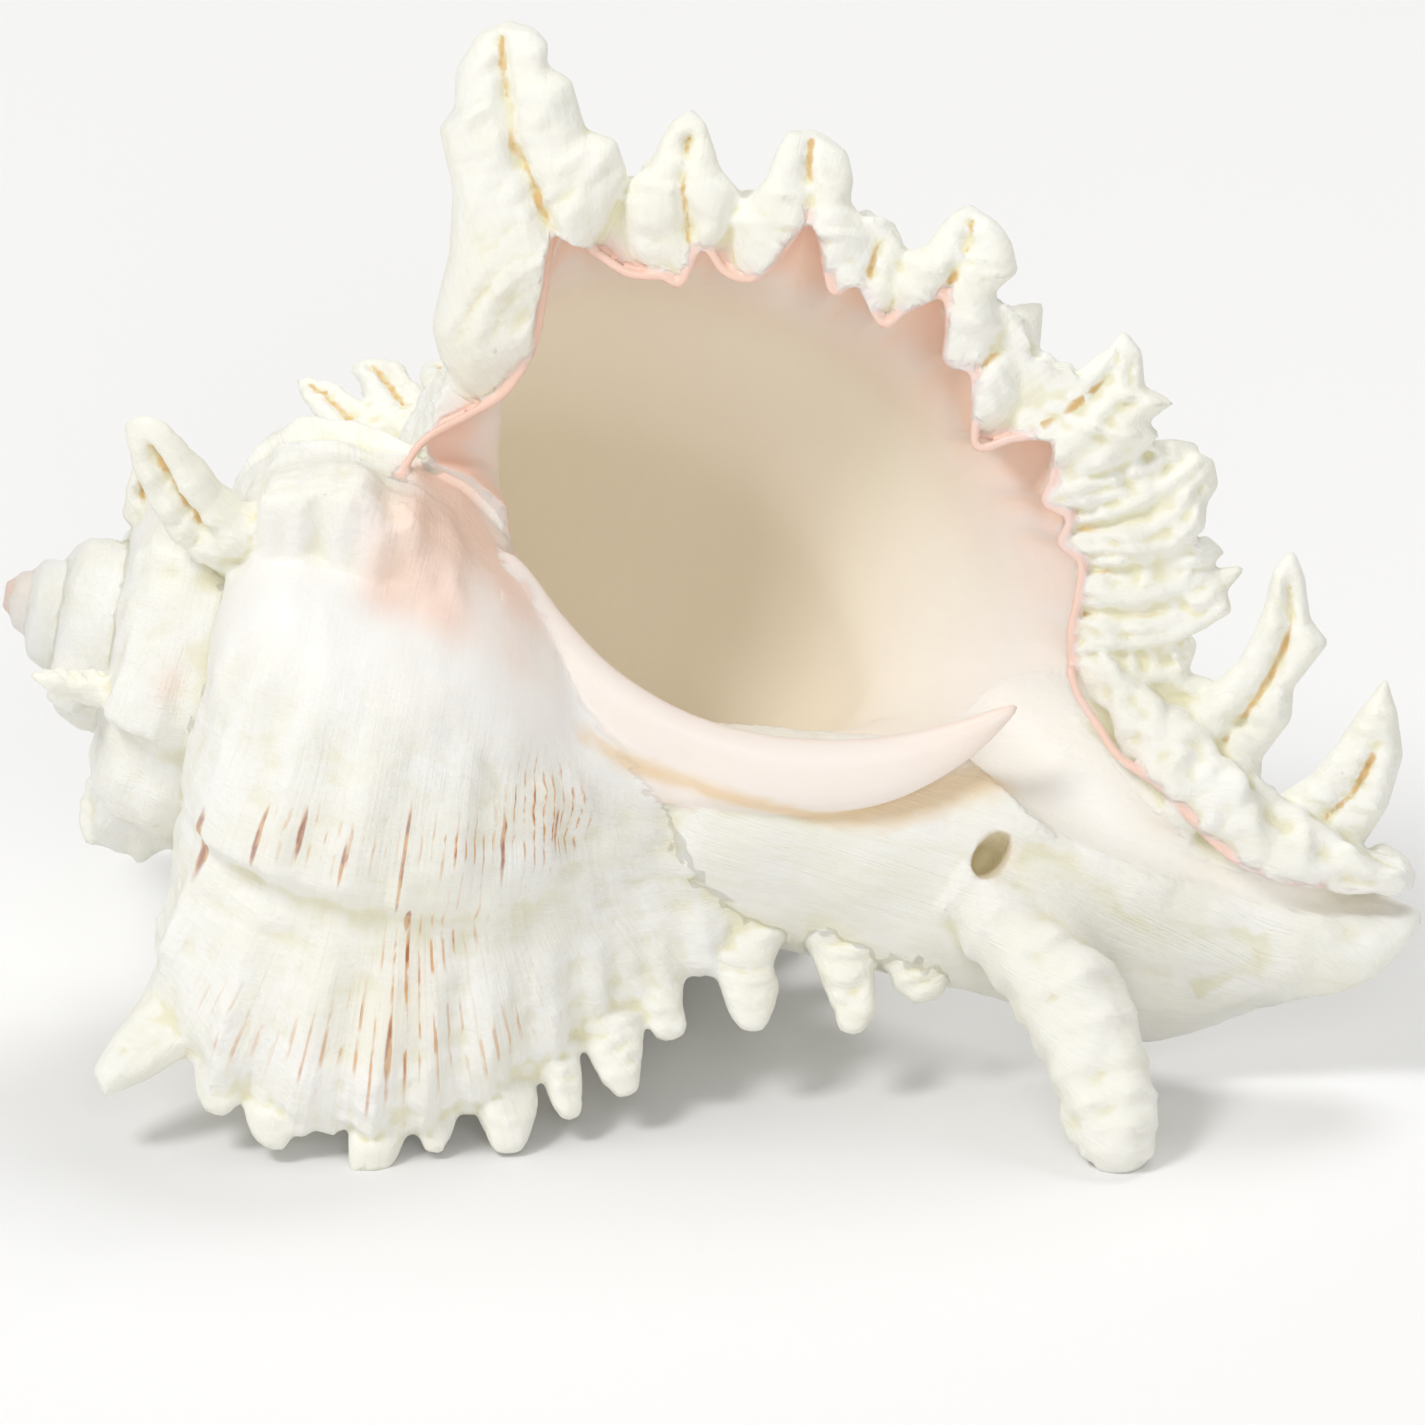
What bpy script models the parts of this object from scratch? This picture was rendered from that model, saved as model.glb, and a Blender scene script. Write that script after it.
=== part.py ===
"""A ramose murex shell: one coiled, hollow, spiny piece, resting on its two lower rows of spines.

The shell is drawn about its coiling axis. A place on it is (along, out, turn): millimetres along the
axis from the apex, millimetres out from the axis, and degrees of growth, which are 0 at the lip and
negative on everything that grew before it. Limbs that leave that plane are drawn as (along, lip, front):
lip is the direction of the outer lip and front is the way the shell would grow next.
"""

import math

import bmesh
import bpy
import numpy as np
from mathutils import Matrix, Vector

# Driving dimensions, in millimetres and degrees. MM turns them into Blender's metres.
MM = 0.001
WHORL_GROWTH = 1.75
WHORLS = 6
FLARE_TURN = 50
AXIS_SLOPE = 18
LIP_LEAN = 18
REST_TILT = 23.5
FOOT_TRIM = 1
VOXEL = 1.3
FACES_KEPT = 9000

# Half sections of the last whorl, (along, out), round from the suture over the shoulder to the base and
# back inside the axis. The first is the plain whorl, the second the same whorl opened out at the lip.
WHORL_SECTION = (
    (46, 30), (45, 38), (48, 46), (54, 52), (64, 55), (76, 56), (90, 54), (103, 48),
    (115, 38), (125, 28), (137, 20), (150, 10), (140, 2), (80, 1), (55, 3), (45, 15),
)
LIP_SECTION = (
    (46, 31), (47, 42), (48, 56), (53, 69), (62, 77), (76, 79), (92, 78), (106, 75),
    (120, 67), (133, 58), (139, 46), (140, 32), (133, 12), (100, 1), (60, 1), (45, 15),
)
# The hollow inside that whorl, plain and at the mouth.
HOLLOW_SECTION = (
    (59, 30), (55, 37), (57, 45), (62, 49.5), (70, 51.5), (80, 52), (90, 50.5), (99, 46.5),
    (107, 40), (113, 32), (116, 25), (113, 18), (106, 14.5), (97, 12.5), (86, 11.5), (76, 13), (68, 19),
)
MOUTH_SECTION = (
    (59, 31), (56, 42), (56.5, 55), (60, 64), (70, 69), (83, 71), (95, 70), (106, 66),
    (116, 58), (125, 50), (130, 41), (131, 32), (121, 23), (107, 15), (88, 11.5), (75, 13), (65, 21),
)
HOLLOW_END_TURN = -330
HOLLOW_PAST_LIP = 9

# Turns of the old lips, or varices: the hidden one, the front one, and those whose shoulder alone shows.
HIDDEN_VARIX = -114
FRONT_VARIX = -217
SPIRE_VARICES = (-322, -430, -537, -620, -735, -845, -955)
OPEN_FRONT, OPEN_SPIRE = 0.85, 0.7
VARIX_DROP = 7
VARIX_RISE = 32
# Halfway between the hidden and the front varix the whorl is a little flat.
FLAT_TURN, FLAT_WIDTH, FLAT_SHARE = -168, 32, 0.07
# Turns of the swellings between them, and where those sit round the section.
NODE_TURNS = (-256, -375, -483, -578, -680)
NODE_WIDTH, NODE_SWELL = 7, 0.085
NODE_PLACE, NODE_REACH = 0.28, 0.13

# Fronds: (base along, base out, tip along, tip out, half width, sideways bend), first those on the lip.
LIP_FRONDS = (
    (50, 42, 39, 90, 9, -7),
    (66, 68, 65, 87, 6, 0),
    (82, 70, 80, 90, 5.5, 1),
    (92, 71, 92, 82, 3.5, 0),
    (99, 69, 106, 87, 6, 1),
    (110, 66, 117, 78, 4.5, 1),
    (117, 58, 128, 78, 6.5, 2),
    (125, 53, 140, 68, 5.5, 1),
    (129, 47, 147, 57, 5.5, 0),
    (132, 40, 149, 52, 5, -1),
    (134, 33, 146, 41, 4.5, 0),
    (146, 22, 152, 57, 5.5, -11),
    (159, 17, 168, 45, 5.5, -11),
    (170, 19, 179, 22, 3.5, 0),
)
FRONT_FRONDS = (
    (38, 35, 31, 60, 5.5, -2),
    (47, 38, 49, 58, 4, 0),
    (55, 39, 57, 59, 4, 0),
    (62, 38, 64, 53, 3.5, 0),
    (68, 37, 70, 58, 5, 0),
    (74, 34, 78, 49, 4, 0),
    (79, 30, 88, 46, 4.5, 1),
    (85, 27, 92, 38, 3.5, 1),
    (89, 22, 96, 35, 4, 1),
    (93, 17, 99, 27, 3.5, 1),
    (101, 8, 108, 24, 4, 0),
    (112, 4, 121, 19, 4, 0),
    (121, 6, 128, 13, 4, 0),
)
# The same row at full size, for the hidden varix.
PLAIN_FRONDS = (
    (50, 46, 34, 88, 8, -4),
    (62, 60, 58, 84, 6, 0),
    (75, 62, 74, 86, 5.5, 0),
    (88, 60, 90, 82, 5.5, 1),
    (99, 56, 104, 76, 5.5, 1),
    (110, 50, 117, 66, 5, 1),
    (120, 42, 131, 55, 5, 1),
    (126, 33, 141, 40, 4.5, 0),
)
# What shows above the suture on the spire, each row led by the turn of its varix.
SPIRE_FRONDS = (
    (-322, 47, 42, 19, 69, 9, 4),
    (-322, 56, 52, 52, 68, 5, 0),
    (-322, 65, 58, 63, 70, 4.5, 0),
    (-430, 46, 44, 24, 64, 7, 2),
    (-537, 50, 48, 50, 66, 7, 0),
    (-620, 46, 44, 23, 63, 7.5, 2),
    (-735, 48, 46, 40, 66, 7, 0),
    (-845, 48, 46, 40, 66, 8, 0),
)
FROND_TURN = 5
# Short stubs on the shoulder between the hidden varix and the lip.
SHOULDER_STUBS = ((38, 38, 28, 47, 3, 0), (43, 42, 35, 53, 4, 0), (50, 47, 43, 56, 4, 0))
STUB_TURN = -50

# The siphonal canal, the tube left by the canal before it, the glazed inner lip and the canal's slit:
# (along, lip, front, half width, half depth) down each one.
CANAL = (
    (80, 0, 0, 9, 9), (92, 1, 0, 13, 13), (110, 4, 0, 16, 13), (128, 8, 0, 19, 11),
    (142, 8, 0, 18, 9), (152, 6, 0, 16, 8), (163, 9, 0, 11, 6), (174, 12, 0, 7.5, 4.5), (182, 17, 0, 2, 2),
)
CANAL_EDGE = (
    (136, 38, -3, 2, 2), (139, 31, -2, 4.5, 4), (147, 25, 0, 5, 4), (158, 21, 2, 5, 4), (170, 20, 2, 4, 3.5),
    (179, 21, 2, 2.5, 2.5),
)
OLD_CANAL = (
    (118, 8, 2, 6, 6), (129, 5, 6, 7, 7), (137, 2, 11, 7, 7), (143, -3.5, 17, 6.6, 6.6),
    (148, -10, 21.5, 6, 5.5), (152, -15, 24.5, 4.8, 4.6), (154, -18.5, 26.5, 3, 3),
)
INNER_LIP = (
    (60, 27, 8, 3, 2), (67, 18, 10, 5, 3.5), (77, 13, 11, 5.5, 3.5), (88, 10.5, 12, 5.5, 3.5),
    (99, 11, 12, 5, 3.5), (109, 15, 11, 4.5, 3), (118, 22, 10, 3, 2), (125, 29, 9, 1, 1),
)
CANAL_SLIT = (
    (112, 34, -12, 8, 6), (120, 31, -8, 8, 6), (129, 27, 0, 6, 6), (138, 22, 7, 3.5, 5),
    (148, 18, 9, 2, 4.5), (160, 16, 8, 1.8, 4), (172, 16.5, 6, 1.5, 3.5), (188, 19, 5, 1.3, 3),
)


def smoothstep(low, high, value):
    """0 below low, 1 above high, and an even S between them."""
    share = np.clip((value - low) / (high - low), 0, 1)
    return share * share * (3 - 2 * share)


def bump(centre, width, value):
    return np.exp(-(((value - centre) / width) ** 2))


def smooth_curve(points, share, closed):
    """Points of a Catmull-Rom curve through the given ones, at shares from 0 to 1 of its length in spans."""
    points = np.array(points, float)
    count = len(points)
    spans = count if closed else count - 1
    place = np.clip(share, 0, 1) * spans
    first = np.minimum(place.astype(int), spans - 1)
    f = (place - first)[:, None]

    def corner(step):
        index = first + step
        return points[index % count] if closed else points[np.clip(index, 0, count - 1)]

    before, start, end, after = (corner(step) for step in (-1, 0, 1, 2))
    return (
        start
        + 0.5 * f * (end - before)
        + f * f * (before - 2.5 * start + 2 * end - 0.5 * after)
        + f * f * f * (1.5 * (start - end) + 0.5 * (after - before))
    )


def in_shell(along, out, turn):
    """The point at (along, out, turn), in the shell's own axes: X along, -Y to the front, Z to the lip."""
    angle = np.radians(turn)
    return np.stack([along, -out * np.sin(angle), out * np.cos(angle)], axis=-1)


def tube(name, place, steps_along, steps_around):
    """A closed tube: a grid rolled up by place(along, around), both from 0 to 1, and filled at its ends."""
    mesh = bmesh.new()
    bmesh.ops.create_grid(mesh, x_segments=steps_along, y_segments=steps_around, size=0.5)
    flat = np.array([vertex.co for vertex in mesh.verts]) + 0.5
    for vertex, point in zip(mesh.verts, place(flat[:, 0], flat[:, 1]) * MM):
        vertex.co = point
    bmesh.ops.remove_doubles(mesh, verts=mesh.verts, dist=0.01 * MM)
    rims = [edge for edge in mesh.edges if edge.is_boundary]
    bmesh.ops.holes_fill(mesh, edges=rims, sides=0)
    bmesh.ops.triangulate(mesh, faces=[face for face in mesh.faces if len(face.verts) > 4])
    bmesh.ops.recalc_face_normals(mesh, faces=mesh.faces)
    data = bpy.data.meshes.new(name)
    mesh.to_mesh(data)
    mesh.free()
    return link(name, data)


def link(name, data):
    obj = bpy.data.objects.new(name, data)
    bpy.context.scene.collection.objects.link(obj)
    return obj


def join(name, objects):
    """One object that holds all the given shells, which may overlap until they are remeshed."""
    mesh = bmesh.new()
    for obj in objects:
        mesh.from_mesh(obj.data)
        bpy.data.objects.remove(obj)
    data = bpy.data.meshes.new(name)
    mesh.to_mesh(data)
    mesh.free()
    return link(name, data)


def settle(obj):
    """Replaces the object's mesh by what its modifiers make of it."""
    graph = bpy.context.evaluated_depsgraph_get()
    data = bpy.data.meshes.new_from_object(obj.evaluated_get(graph))
    obj.modifiers.clear()
    obj.data = data


def fuse(obj):
    """Makes overlapping shells one skin."""
    remesh = obj.modifiers.new("one skin", "REMESH")
    remesh.mode = "VOXEL"
    remesh.voxel_size = VOXEL * MM
    settle(obj)


def combine(obj, other, operation):
    boolean = obj.modifiers.new(operation.lower(), "BOOLEAN")
    boolean.operation = operation
    boolean.object = other
    settle(obj)
    bpy.data.objects.remove(other)


def opened_out(turn, around):
    """How far the section is opened out: fully at the lip, and again at every old lip it left behind."""
    opened = smoothstep(-FLARE_TURN, 0, turn)
    lower_half = smoothstep(0.35, 0.6, around)
    shoulder = 1 - smoothstep(0.18, 0.34, around)
    for at in (HIDDEN_VARIX, FRONT_VARIX) + SPIRE_VARICES:
        ridge = smoothstep(at - VARIX_RISE, at, turn) * (1 - smoothstep(at, at + VARIX_DROP, turn))
        share = OPEN_SPIRE * shoulder if at in SPIRE_VARICES else OPEN_FRONT * (1 - 0.7 * lower_half)
        opened = np.maximum(opened, ridge * share)
    return opened


def whorls(name):
    """The wall of the whole coil, grown from the apex to the lip."""
    first = -360 * WHORLS

    def place(along, around):
        turn = first * (1 - along)
        size = WHORL_GROWTH ** (turn / 360)
        flare = opened_out(turn, around)[:, None]
        plain = smooth_curve(WHORL_SECTION, around, True)
        lip = smooth_curve(LIP_SECTION, around, True)
        section = (plain + (lip - plain) * flare) * size[:, None]
        nodes = sum(bump(at, NODE_WIDTH, turn) for at in NODE_TURNS)
        swell = 1 + nodes * NODE_SWELL * bump(NODE_PLACE, NODE_REACH, around)
        swell = swell - FLAT_SHARE * bump(FLAT_TURN, FLAT_WIDTH, turn)
        return in_shell(section[:, 0], section[:, 1] * swell, turn)

    return tube(name, place, 60 * WHORLS, 48)


def hollow(name):
    """The room inside the last whorl, from its rounded end deep in the coil out past the lip."""
    length = HOLLOW_PAST_LIP - HOLLOW_END_TURN
    middle = np.mean(HOLLOW_SECTION, axis=0)

    def place(along, around):
        turn = HOLLOW_END_TURN + length * along
        size = WHORL_GROWTH ** (np.minimum(turn, 0) / 360)
        flare = smoothstep(-FLARE_TURN, 0, turn)[:, None]
        plain = smooth_curve(HOLLOW_SECTION, around, True)
        mouth = smooth_curve(MOUTH_SECTION, around, True)
        section = plain + (mouth - plain) * flare
        closing = np.sqrt(np.clip(along * length / 30, 0.01, 1))[:, None]
        section = (middle + (section - middle) * closing) * size[:, None]
        return in_shell(section[:, 0], section[:, 1], turn)

    return tube(name, place, 56, 34)


def frond(name, turn, size, row, sweep=FROND_TURN):
    """One spine: a flattened, tapering horn, rooted in the varix and swept back by some degrees of turn."""
    base = np.array(row[0:2], float) * size
    tip = np.array(row[2:4], float) * size
    half_width, bend = row[4] * size, row[5] * size
    reach = tip - base
    root = base - 0.3 * reach / np.linalg.norm(reach) * min(np.linalg.norm(reach), 20 * size)
    sideways = np.array([-reach[1], reach[0]]) / np.linalg.norm(reach)
    middle = (root + tip) / 2 + sideways * bend

    def place(along, around):
        t = along[:, None]
        centre = root * (1 - t) ** 2 + 2 * middle * t * (1 - t) + tip * t**2
        heading = (middle - root) * (1 - t) + (tip - middle) * t
        heading = heading / np.linalg.norm(heading, axis=1, keepdims=True)
        across = np.stack([-heading[:, 1], heading[:, 0]], axis=-1)
        ends = np.sqrt(np.clip(1 - along**6, 0, 1)) * np.sqrt(np.minimum(1, along * 4))
        taper = (1.2 - 0.55 * along) * ends
        angle = 2 * math.pi * around
        spot = centre + across * (half_width * taper * np.cos(angle))[:, None]
        depth = 0.62 * half_width * taper * np.sin(angle)
        swept = turn - sweep * along**2
        point = in_shell(spot[:, 0], spot[:, 1], swept)
        growth = in_shell(np.zeros_like(swept), np.ones_like(swept), swept + 90)
        return point + growth * depth[:, None]

    return tube(name, place, 14, 12)


def limb(name, stations, steps_along, steps_around):
    """A tube down a curve in space, with its own half width and half depth at each station."""

    def place(along, around):
        row = smooth_curve(stations, along, False)
        ahead = smooth_curve(stations, np.minimum(along + 0.01, 1), False)
        behind = smooth_curve(stations, np.maximum(along - 0.01, 0), False)
        heading = shell_axes(ahead) - shell_axes(behind)
        heading = heading / np.linalg.norm(heading, axis=1, keepdims=True)
        side = np.cross(heading, np.array([0.0, 1.0, 0.0]))
        side = side / np.linalg.norm(side, axis=1, keepdims=True)
        deep = np.cross(side, heading)
        closing = np.sqrt(np.clip(1 - (2 * along - 1) ** 14, 0, 1))
        angle = 2 * math.pi * around
        width = (row[:, 3] * closing * np.cos(angle))[:, None]
        depth = (row[:, 4] * closing * np.sin(angle))[:, None]
        return shell_axes(row) + side * width + deep * depth

    return tube(name, place, steps_along, steps_around)


def shell_axes(rows):
    """(along, lip, front) in the shell's own axes."""
    return np.stack([rows[:, 0], -rows[:, 2], rows[:, 1]], axis=-1)


def varix_fronds():
    """Every frond: the lip's, the front varix's, the hidden varix's and the short ones on the spire."""
    made = [frond("lip_frond", 0, 1, row) for row in LIP_FRONDS]
    made += [frond("stub", STUB_TURN, 1, row) for row in SHOULDER_STUBS]
    made += [frond("front_frond", FRONT_VARIX, 1, row, 0) for row in FRONT_FRONDS]
    size = WHORL_GROWTH ** (HIDDEN_VARIX / 360)
    made += [frond("hidden_frond", HIDDEN_VARIX, size, row) for row in PLAIN_FRONDS]
    made += [frond("spire_frond", row[0], WHORL_GROWTH ** (row[0] / 360), row[1:]) for row in SPIRE_FRONDS]
    return made


def shell_colour():
    """Chalky off-white shell."""
    material = bpy.data.materials.new("shell")
    material.use_nodes = True
    surface = material.node_tree.nodes["Principled BSDF"]
    surface.inputs["Base Color"].default_value = (0.86, 0.84, 0.75, 1)
    surface.inputs["Roughness"].default_value = 0.55
    surface.inputs["Metallic"].default_value = 0
    return material


def stand_on_feet(obj):
    """Turns the shell to how it rests, trims the lowest tips flat and puts the origin under its middle."""
    rest = Matrix.Rotation(math.radians(-REST_TILT), 4, "X")
    slope = Matrix.Rotation(math.radians(AXIS_SLOPE), 4, "Y")
    lean = Matrix.Rotation(math.radians(LIP_LEAN), 4, "X")
    obj.data.transform(rest @ slope @ lean)
    corners = np.array([vertex.co for vertex in obj.data.vertices])
    low, high = corners.min(axis=0), corners.max(axis=0)
    middle = (low + high) / 2
    floor = low[2] + FOOT_TRIM * MM
    mesh = bmesh.new()
    mesh.from_mesh(obj.data)
    cut = bmesh.ops.bisect_plane(
        mesh,
        geom=mesh.verts[:] + mesh.edges[:] + mesh.faces[:],
        dist=1e-7,
        plane_co=(0, 0, floor),
        plane_no=(0, 0, -1),
        clear_outer=True,
    )
    rims = [part for part in cut["geom_cut"] if isinstance(part, bmesh.types.BMEdge)]
    bmesh.ops.holes_fill(mesh, edges=rims, sides=0)
    bmesh.ops.translate(mesh, verts=mesh.verts, vec=Vector((-middle[0], -middle[1], -floor)))
    bmesh.ops.triangulate(mesh, faces=mesh.faces)
    mesh.to_mesh(obj.data)
    mesh.free()


def build():
    for obj in list(bpy.data.objects):
        bpy.data.objects.remove(obj)
    canal = limb("canal", CANAL, 40, 28)
    edge = limb("canal_edge", CANAL_EDGE, 28, 14)
    old_canal = limb("old_canal", OLD_CANAL, 24, 18)
    shell = join("murex_shell", [whorls("whorls"), canal, edge, old_canal] + varix_fronds())
    fuse(shell)
    combine(shell, hollow("hollow"), "DIFFERENCE")
    combine(shell, limb("slit", CANAL_SLIT, 28, 14), "DIFFERENCE")
    combine(shell, limb("inner_lip", INNER_LIP, 28, 14), "UNION")
    thin = shell.modifiers.new("fewer faces", "DECIMATE")
    thin.ratio = FACES_KEPT / sum(len(face.vertices) - 2 for face in shell.data.polygons)
    settle(shell)
    stand_on_feet(shell)
    shell.data.materials.clear()
    shell.data.materials.append(shell_colour())


build()
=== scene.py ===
import math

import bmesh
import bpy
import numpy as np
from mathutils import Matrix, Vector
from mathutils.kdtree import KDTree


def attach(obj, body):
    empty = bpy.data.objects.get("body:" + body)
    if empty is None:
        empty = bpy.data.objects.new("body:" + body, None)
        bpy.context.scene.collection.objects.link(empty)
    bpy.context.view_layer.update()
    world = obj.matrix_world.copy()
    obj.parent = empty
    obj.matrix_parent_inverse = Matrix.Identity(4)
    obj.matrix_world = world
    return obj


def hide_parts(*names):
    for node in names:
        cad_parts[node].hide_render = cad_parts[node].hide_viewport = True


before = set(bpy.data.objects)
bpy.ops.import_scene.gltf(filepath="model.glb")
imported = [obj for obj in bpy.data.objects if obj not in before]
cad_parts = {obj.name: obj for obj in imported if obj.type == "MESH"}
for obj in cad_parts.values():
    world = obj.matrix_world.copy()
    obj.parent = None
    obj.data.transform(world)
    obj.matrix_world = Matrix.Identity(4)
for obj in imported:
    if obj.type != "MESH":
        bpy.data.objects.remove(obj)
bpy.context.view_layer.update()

# ---------------------------------------------------------------------------------------------------
# The whorls. The wall of the coil, chalky calcite laid down at the lip as the animal grew, so every part
# of it is an older, smaller copy of the last. Places are in millimetres along the axis and out from it,
# and in degrees of growth: 0 at the lip, negative on everything that grew before it.
MM = 0.001
WHORL_GROWTH = 1.75
WHORLS = 6
FLARE_TURN = 50
HIDDEN_VARIX = -114
FRONT_VARIX = -217
SPIRE_VARICES = (-322, -430, -537, -620, -735, -845, -955)
OPEN_FRONT, OPEN_SPIRE = 0.85, 0.7
VARIX_RISE, VARIX_DROP = 32, 7
FLAT_TURN, FLAT_WIDTH, FLAT_SHARE = -168, 32, 0.07
NODE_TURNS = (-254, -373, -483, -578, -680)
NODE_RISE, NODE_DROP, NODE_SWELL = 26, 6, 0.1
NODE_PLACE, NODE_REACH = 0.2, 0.16
WHORL_SECTION = (
    (46, 30), (45, 38), (48, 46), (54, 52), (64, 55), (76, 56), (90, 54), (103, 48),
    (115, 38), (125, 28), (137, 20), (150, 10), (140, 2), (80, 1), (55, 3), (45, 15),
)
LIP_SECTION = (
    (46, 31), (47, 42), (48, 56), (53, 69), (62, 77), (76, 79), (92, 78), (106, 75),
    (120, 67), (133, 58), (139, 46), (140, 32), (133, 12), (100, 1), (60, 1), (45, 15),
)
# Spiral cords: each runs round the whorl to one of the fronds.
CORDS = (0.165, 0.262, 0.33, 0.374, 0.416, 0.458, 0.5, 0.54, 0.5725, 0.6, 0.635)
CORD_WIDTH, CORD_HEIGHT, FOLD_HEIGHT = 0.013, 0.5, 2.3
THREADS, THREAD_HEIGHT = 96, 0.2
LAMELLA_TURN, LAMELLA_HEIGHT = 3.4, 0.7
# Millimetres of wall to a degree of growth, and round the section, for the reliefs' own measure.
WALL_TURN, WALL_ROUND = 0.9, 300
CREST_RISE, CREST_TOP = 30, 1
WANDER, GLAZE_SMOOTHS = 0.002, 0.92
VARIX_WAVES = ((1.3, 60), (0.8, 141))


def smoothstep(low, high, value):
    """0 at low, 1 at high, and an even S between them."""
    share = np.clip((value - low) / (high - low), 0, 1)
    return share * share * (3 - 2 * share)


def bump(centre, width, value):
    """1 at the centre, dying away to both sides."""
    return np.exp(-(((value - centre) / width) ** 2))


def ripples(points, length, seed, count=24):
    """Smooth noise about 1 high: waves of about the given length, in fixed random directions."""
    dice = np.random.default_rng(seed)
    ways = dice.normal(size=(count, points.shape[1]))
    ways = ways / np.linalg.norm(ways, axis=1, keepdims=True)
    waves = 2 * math.pi / (length * dice.uniform(0.6, 1.6, count))
    phases = dice.uniform(0, 2 * math.pi, count)
    return np.cos(points @ (ways * waves[:, None]).T + phases).sum(axis=1) / math.sqrt(count / 2)


def smooth_curve(points, share, closed):
    """Points of a Catmull-Rom curve through the given ones, at shares from 0 to 1 of its spans."""
    points = np.array(points, float)
    count = len(points)
    spans = count if closed else count - 1
    place = np.clip(share, 0, 1) * spans
    first = np.minimum(place.astype(int), spans - 1)
    f = (place - first)[:, None]

    def corner(step):
        index = first + step
        return points[index % count] if closed else points[np.clip(index, 0, count - 1)]

    before, start, end, after = (corner(step) for step in (-1, 0, 1, 2))
    return (
        start
        + 0.5 * f * (end - before)
        + f * f * (before - 2.5 * start + 2 * end - 0.5 * after)
        + f * f * f * (1.5 * (start - end) + 0.5 * (after - before))
    )


def in_shell(along, out, turn):
    """The point at (along, out, turn), in the shell's own axes: X along, -Y to the front, Z to the lip."""
    angle = np.radians(turn)
    return np.stack([along, -out * np.sin(angle), out * np.cos(angle)], axis=-1)


def opened_out(turn, around):
    """How far the section is opened out: fully at the lip, and again at every old lip it left behind."""
    opened = smoothstep(-FLARE_TURN, 0, turn)
    lower_half = smoothstep(0.35, 0.6, around)
    shoulder = 1 - smoothstep(0.18, 0.34, around)
    for at in (HIDDEN_VARIX, FRONT_VARIX) + SPIRE_VARICES:
        ridge = smoothstep(at - VARIX_RISE, at, turn) * (1 - smoothstep(at, at + VARIX_DROP, turn))
        share = OPEN_SPIRE * shoulder if at in SPIRE_VARICES else OPEN_FRONT * (1 - 0.7 * lower_half)
        if at == SPIRE_VARICES[0]:
            wavy = turn
            for height, often in VARIX_WAVES:
                wavy = wavy + height * np.sin(around * often)
            ridge = smoothstep(at - VARIX_RISE, at, wavy) * (1 - smoothstep(at, at + VARIX_DROP, wavy))
            share = OPEN_SPIRE * (1 - smoothstep(0.28, 0.42, around)) * (0.6 + 0.4 * shoulder)
        opened = np.maximum(opened, ridge * share)
    return opened


def glazed_over(turn, around):
    """Where enamel of the inner lip covers the whorl before: just inside the mouth."""
    after = smoothstep(-372, -350, turn) * (1 - smoothstep(-306, -276, turn))
    return after * np.maximum(smoothstep(0.3, 0.42, around), 0.8 * smoothstep(-322, -312, turn))


def sculpture(turn, around):
    """Height above the plain wall, in millimetres on a full-sized whorl."""
    crest = 0
    for at in (0, HIDDEN_VARIX, FRONT_VARIX) + SPIRE_VARICES:
        rise = smoothstep(at - CREST_RISE, at - CREST_TOP, turn)
        crest = crest + rise * (1 - smoothstep(at + CREST_TOP, at + VARIX_DROP, turn))
    bare = 1 - GLAZE_SMOOTHS * glazed_over(turn, around)
    flat = np.stack([turn * WALL_TURN, around * WALL_ROUND], axis=-1)
    wander = ripples(flat * (0.5, 1), 40, 5) * WANDER
    cords = sum(bump(at, CORD_WIDTH, around + wander) for at in CORDS) * (
        CORD_HEIGHT * (1 + bump(-70, 50, turn)) + FOLD_HEIGHT * crest
    )
    threads = np.cos(2 * math.pi * (around + wander) * THREADS) * THREAD_HEIGHT * (1 + crest)
    step = (turn / LAMELLA_TURN + ripples(flat * (0.4, 1), 18, 6) * 0.35) % 1
    lamellae = (step**2 - 0.33) * LAMELLA_HEIGHT * (0.12 + crest) * (0.8 + 0.5 * ripples(flat, 12, 7))
    growth = ripples(flat * (1, 0.06), 5, 1) * 0.22 + ripples(flat * (1, 0.2), 2.2, 2) * 0.12
    lumps = ripples(flat, 9, 3) * (0.12 + 0.2 * crest) + ripples(flat, 22, 4) * 0.45
    return (cords + threads + lamellae + growth) * bare + lumps * (0.25 + 0.75 * bare)


sources, source_tints = [], []
TINTS = ("turn", "pink", "inside", "recess_shade", "cream", "glaze", "slit", "peach")


def rolled_sheet(name, columns, rows, place, tint):
    """A closed tube: a grid rolled up by place(along, around), its seam merged and its ends filled.

    What tint(along, around) says of it is kept with its points, to colour the skin made from them.
    """
    mesh = bmesh.new()
    bmesh.ops.create_grid(mesh, x_segments=columns, y_segments=rows, size=0.5)
    flat = np.array([vertex.co for vertex in mesh.verts]) + 0.5
    points = place(flat[:, 0], flat[:, 1]) * MM
    for vertex, point in zip(mesh.verts, points):
        vertex.co = point
    shades = np.zeros((len(points), len(TINTS)))
    for key, values in tint(flat[:, 0], flat[:, 1]).items():
        shades[:, TINTS.index(key)] = values
    sources.append(points)
    source_tints.append(shades)
    bmesh.ops.remove_doubles(mesh, verts=mesh.verts, dist=0.01 * MM)
    rims = [edge for edge in mesh.edges if edge.is_boundary]
    bmesh.ops.holes_fill(mesh, edges=rims, sides=0)
    bmesh.ops.triangulate(mesh, faces=[face for face in mesh.faces if len(face.verts) > 4])
    bmesh.ops.recalc_face_normals(mesh, faces=mesh.faces)
    return as_object(name, mesh)


def as_object(name, mesh):
    data = bpy.data.meshes.new(name)
    mesh.to_mesh(data)
    mesh.free()
    obj = bpy.data.objects.new(name, data)
    bpy.context.scene.collection.objects.link(obj)
    return obj


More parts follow.
